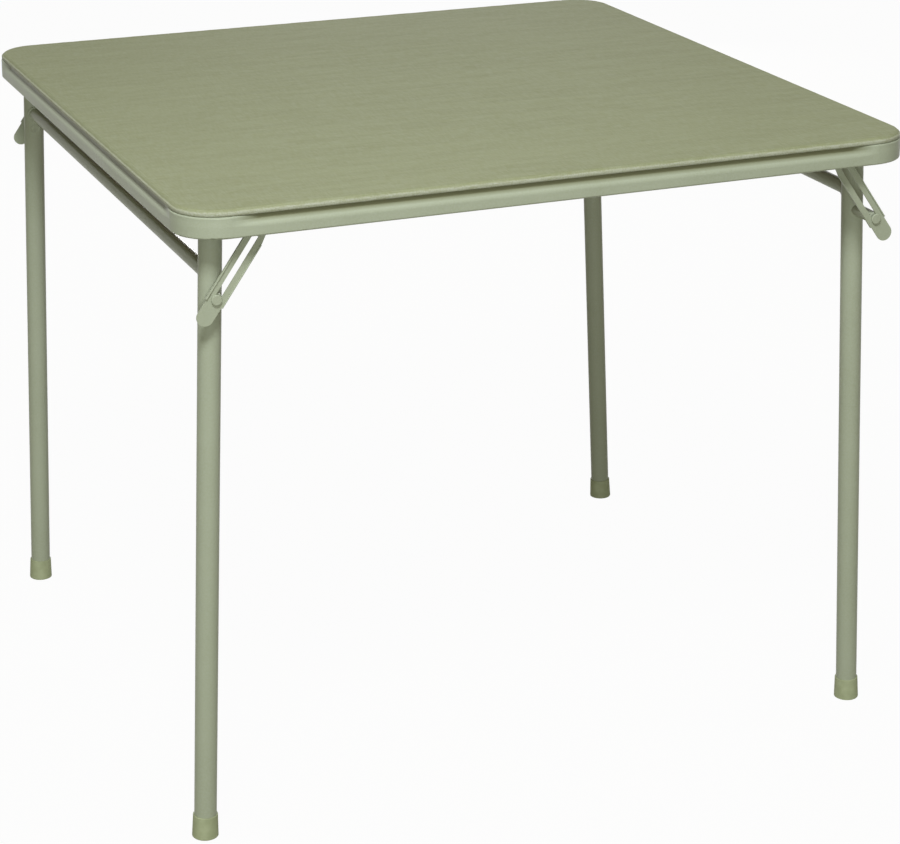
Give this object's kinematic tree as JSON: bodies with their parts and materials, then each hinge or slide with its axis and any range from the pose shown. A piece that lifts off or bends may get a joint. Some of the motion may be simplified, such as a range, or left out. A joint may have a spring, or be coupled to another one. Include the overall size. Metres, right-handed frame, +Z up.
{
  "type": "folding card table",
  "caption": "Square folding card table with a padded vinyl top, a rolled steel apron, tube legs that fold in nested pairs, slotted lock braces and rubber foot caps.",
  "frame": {"origin": "on the floor, under the middle of the open table", "axes": "+Z up, +X along the front edge from the left pair of legs to the right pair, -Y towards the front"},
  "size_m": [0.876, 0.864, 0.737],
  "materials": {
    "vinyl": "embossed sage vinyl, low sheen",
    "foam": "open cell foam",
    "hardboard": "raw tempered hardboard",
    "painted_steel": "sage powder coat, satin",
    "rubber_caps": "moulded sage rubber, matt",
    "zinc_screws": "zinc plated"
  },
  "bodies": {
    "table_top": {"vinyl_cover": "vinyl", "foam_pad": "foam", "hardboard_panel": "hardboard", "apron_frame": "painted_steel", "frame_splice": "painted_steel", "panel_screws": "zinc_screws", "corner_gusset_front_left": "painted_steel", "corner_gusset_back_left": "painted_steel", "corner_gusset_front_right": "painted_steel", "corner_gusset_back_right": "painted_steel", "hinge_bracket_front_left": "painted_steel", "hinge_bracket_back_left": "painted_steel", "hinge_bracket_front_right": "painted_steel", "hinge_bracket_back_right": "painted_steel", "hinge_pin_front_left": "painted_steel", "hinge_pin_back_left": "painted_steel", "hinge_pin_front_right": "painted_steel", "hinge_pin_back_right": "painted_steel", "brace_bracket_front_left": "painted_steel", "brace_bracket_back_left": "painted_steel", "brace_bracket_front_right": "painted_steel", "brace_bracket_back_right": "painted_steel", "brace_pivot_rivet_front_left": "painted_steel", "brace_pivot_rivet_back_left": "painted_steel", "brace_pivot_rivet_front_right": "painted_steel", "brace_pivot_rivet_back_right": "painted_steel"},
    "left_legs": {"crossbar_left": "painted_steel", "leg_tube_front_left": "painted_steel", "leg_tube_back_left": "painted_steel", "foot_cap_front_left": "rubber_caps", "foot_cap_back_left": "rubber_caps", "shoulder_rivet_front_left": "painted_steel", "shoulder_rivet_back_left": "painted_steel"},
    "right_legs": {"crossbar_right": "painted_steel", "leg_tube_front_right": "painted_steel", "leg_tube_back_right": "painted_steel", "foot_cap_front_right": "rubber_caps", "foot_cap_back_right": "rubber_caps", "shoulder_rivet_front_right": "painted_steel", "shoulder_rivet_back_right": "painted_steel"},
    "front_left_brace": {"brace_strap_front_left": "painted_steel"},
    "front_left_slot_rivet": {"slot_rivet_front_left": "painted_steel"},
    "back_left_brace": {"brace_strap_back_left": "painted_steel"},
    "back_left_slot_rivet": {"slot_rivet_back_left": "painted_steel"},
    "front_right_brace": {"brace_strap_front_right": "painted_steel"},
    "front_right_slot_rivet": {"slot_rivet_front_right": "painted_steel"},
    "back_right_brace": {"brace_strap_back_right": "painted_steel"},
    "back_right_slot_rivet": {"slot_rivet_back_right": "painted_steel"}
  },
  "joints": [
    {"name": "left_leg_fold", "type": "hinge", "parent": "table_top", "child": "left_legs", "pos_m": [-0.391, 0, 0.708], "axis": [0, -1, 0], "range_deg": [0, 90.6]},
    {"name": "right_leg_fold", "type": "hinge", "parent": "table_top", "child": "right_legs", "pos_m": [0.391, 0, 0.708], "axis": [0, 1, 0], "range_deg": [0, 92.6]},
    {"name": "front_left_brace_swing", "type": "hinge", "parent": "table_top", "child": "front_left_brace", "pos_m": [-0.34451, -0.4115, 0.708], "axis": [0, -1, 0], "range_deg": [0, 119.24]},
    {"name": "front_left_rivet_slide", "type": "slide", "parent": "front_left_brace", "child": "front_left_slot_rivet", "axis": [0.5736, 0, 0.8192], "range_m": [0, 0.06202]},
    {"name": "back_left_brace_swing", "type": "hinge", "parent": "table_top", "child": "back_left_brace", "pos_m": [-0.34451, 0.4115, 0.708], "axis": [0, -1, 0], "range_deg": [0, 119.24]},
    {"name": "back_left_rivet_slide", "type": "slide", "parent": "back_left_brace", "child": "back_left_slot_rivet", "axis": [0.5736, 0, 0.8192], "range_m": [0, 0.06202]},
    {"name": "front_right_brace_swing", "type": "hinge", "parent": "table_top", "child": "front_right_brace", "pos_m": [0.34451, -0.4115, 0.708], "axis": [0, 1, 0], "range_deg": [0, 125.01]},
    {"name": "front_right_rivet_slide", "type": "slide", "parent": "front_right_brace", "child": "front_right_slot_rivet", "axis": [-0.5736, 0, 0.8192], "range_m": [0, 0.0621]},
    {"name": "back_right_brace_swing", "type": "hinge", "parent": "table_top", "child": "back_right_brace", "pos_m": [0.34451, 0.4115, 0.708], "axis": [0, 1, 0], "range_deg": [0, 125.01]},
    {"name": "back_right_rivet_slide", "type": "slide", "parent": "back_right_brace", "child": "back_right_slot_rivet", "axis": [-0.5736, 0, 0.8192], "range_m": [0, 0.0621]}
  ],
  "couplings": [
    {"joint": "front_left_brace_swing", "follows": "left_leg_fold", "ratio": 1.316},
    {"joint": "front_left_rivet_slide", "follows": "left_leg_fold", "m_per_rad": 0.039216},
    {"joint": "back_left_brace_swing", "follows": "left_leg_fold", "ratio": 1.316},
    {"joint": "back_left_rivet_slide", "follows": "left_leg_fold", "m_per_rad": 0.039216},
    {"joint": "front_right_brace_swing", "follows": "right_leg_fold", "ratio": 1.3499},
    {"joint": "front_right_rivet_slide", "follows": "right_leg_fold", "m_per_rad": 0.038419},
    {"joint": "back_right_brace_swing", "follows": "right_leg_fold", "ratio": 1.3499},
    {"joint": "back_right_rivet_slide", "follows": "right_leg_fold", "m_per_rad": 0.038419}
  ]
}
